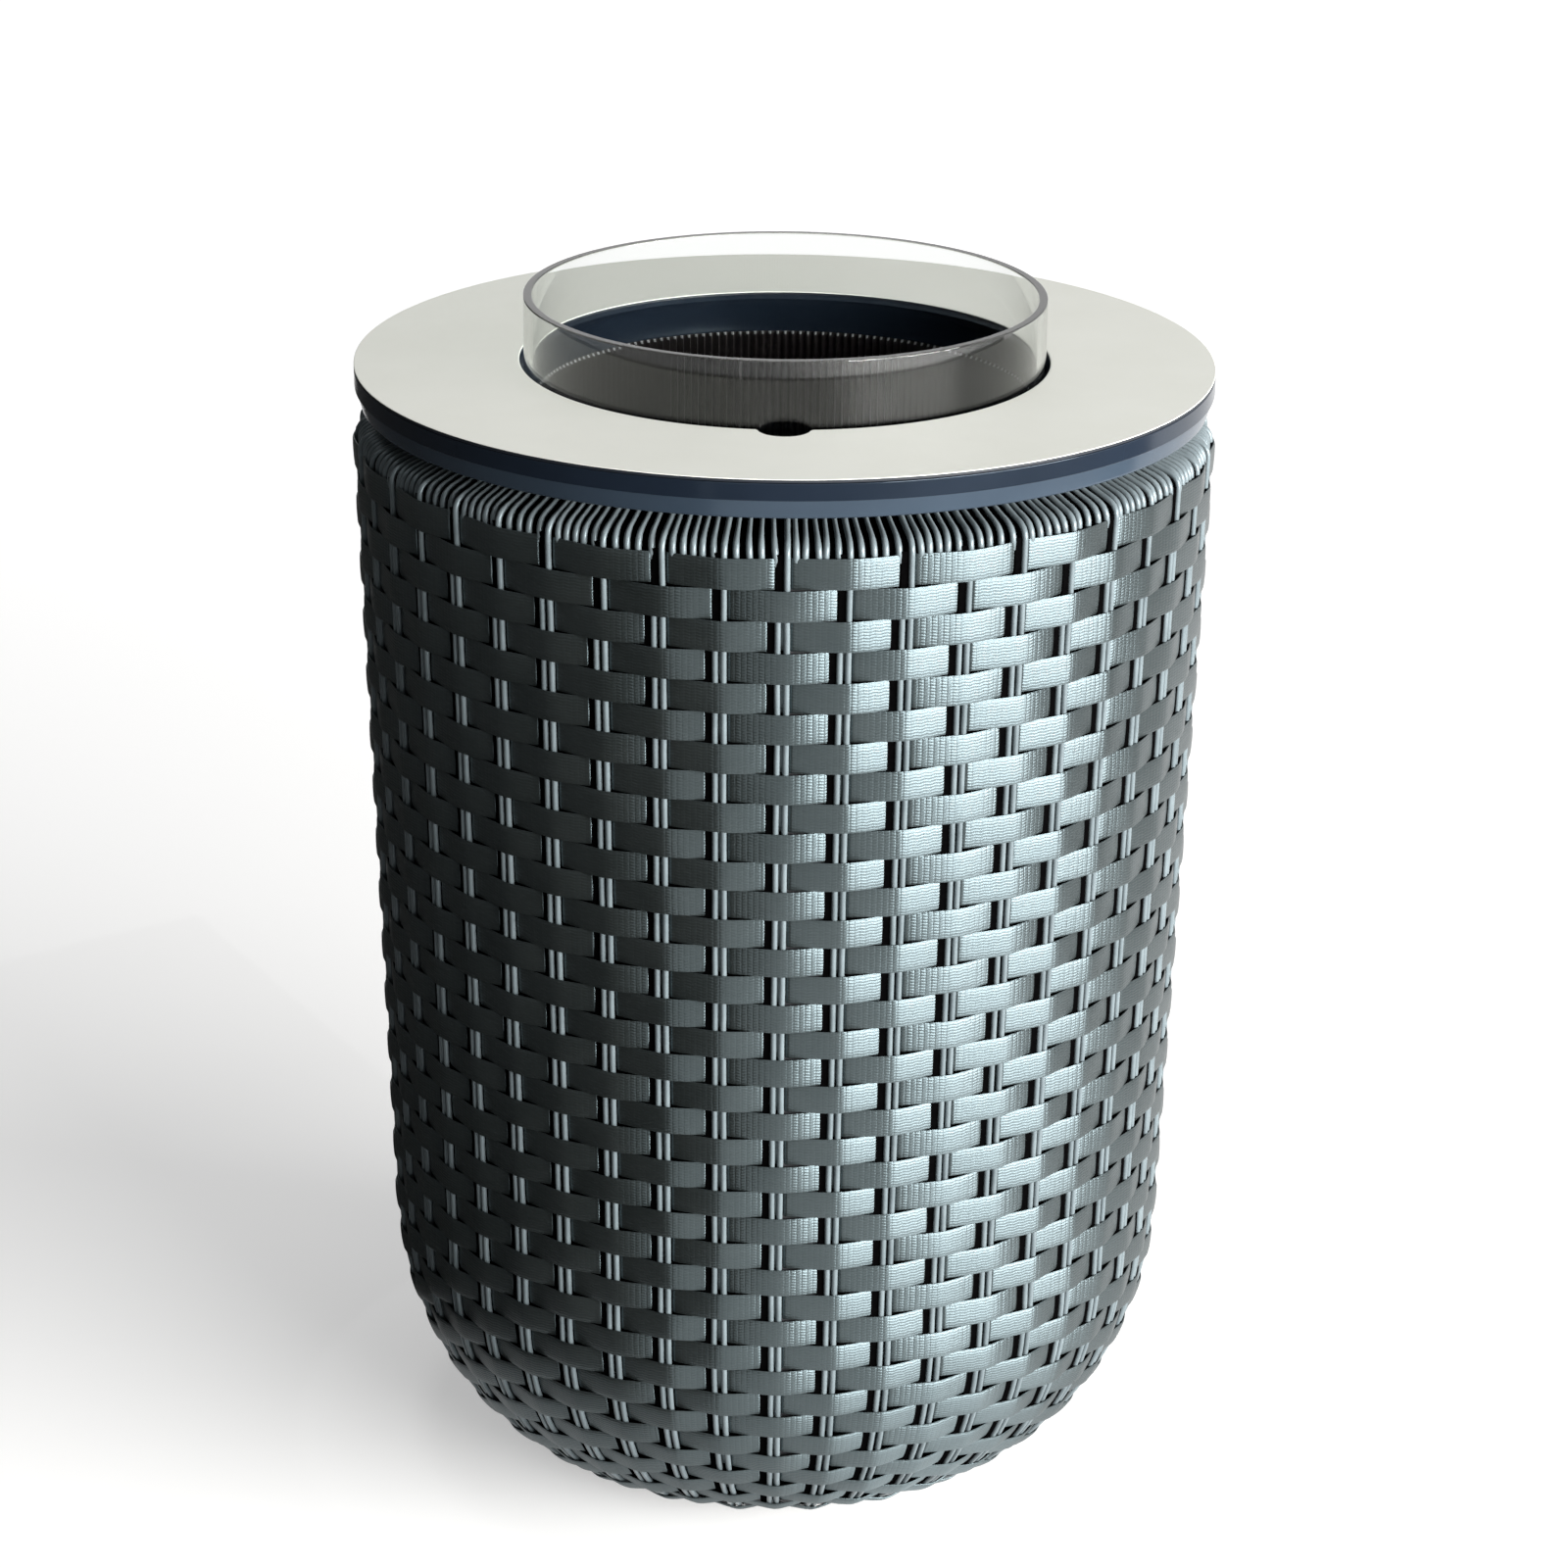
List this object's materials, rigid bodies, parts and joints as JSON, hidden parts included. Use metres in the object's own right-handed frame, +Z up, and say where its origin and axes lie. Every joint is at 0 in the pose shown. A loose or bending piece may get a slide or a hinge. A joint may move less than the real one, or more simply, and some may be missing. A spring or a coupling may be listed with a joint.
{
  "type": "cooler table",
  "caption": "Round woven patio table with a lift-off ring top, a clear lift-out bucket and a hanging liner that keep bottles cold.",
  "frame": {"origin": "centre of the footprint, on the floor under the glides", "axes": "+Z up, front with the finger notch towards -Y"},
  "size_m": [0.4026, 0.4031, 0.5805],
  "materials": {
    "cream_top": "matt cream laminate",
    "navy_moulding": "satin navy moulded plastic",
    "clear_acrylic": "clear polished acrylic",
    "liner_plastic": "satin black moulded plastic",
    "round_strand": "satin round resin strand",
    "flat_strap": "satin ribbed resin strap",
    "frame_metal": "powder coated dark grey",
    "glide_plastic": "matt black plastic"
  },
  "bodies": {
    "basket": {"woven_wall": "flat_strap", "woven_base": "flat_strap", "rim_wrap": "round_strand", "rim_tube": "frame_metal", "frame_band": "frame_metal", "base_plate": "frame_metal", "upright_1": "frame_metal", "upright_2": "frame_metal", "upright_3": "frame_metal", "upright_4": "frame_metal", "upright_5": "frame_metal", "upright_6": "frame_metal", "glide_1": "glide_plastic", "glide_2": "glide_plastic", "glide_3": "glide_plastic", "glide_4": "glide_plastic", "glide_5": "glide_plastic", "glide_6": "glide_plastic"},
    "liner": {"cooler_liner": "liner_plastic"},
    "bucket": {"clear_bucket": "clear_acrylic"},
    "tabletop": {"tabletop_disc": "cream_top", "top_carrier": "navy_moulding"}
  },
  "joints": [
    {"name": "liner_lift", "type": "slide", "parent": "basket", "child": "liner", "axis": [0, 0, 1], "range_m": [0, 0.3]},
    {"name": "bucket_lift", "type": "slide", "parent": "liner", "child": "bucket", "axis": [0, 0, 1], "range_m": [0, 0.22]},
    {"name": "tabletop_lift", "type": "slide", "parent": "liner", "child": "tabletop", "axis": [0, 0, 1], "range_m": [0, 0.12]}
  ]
}
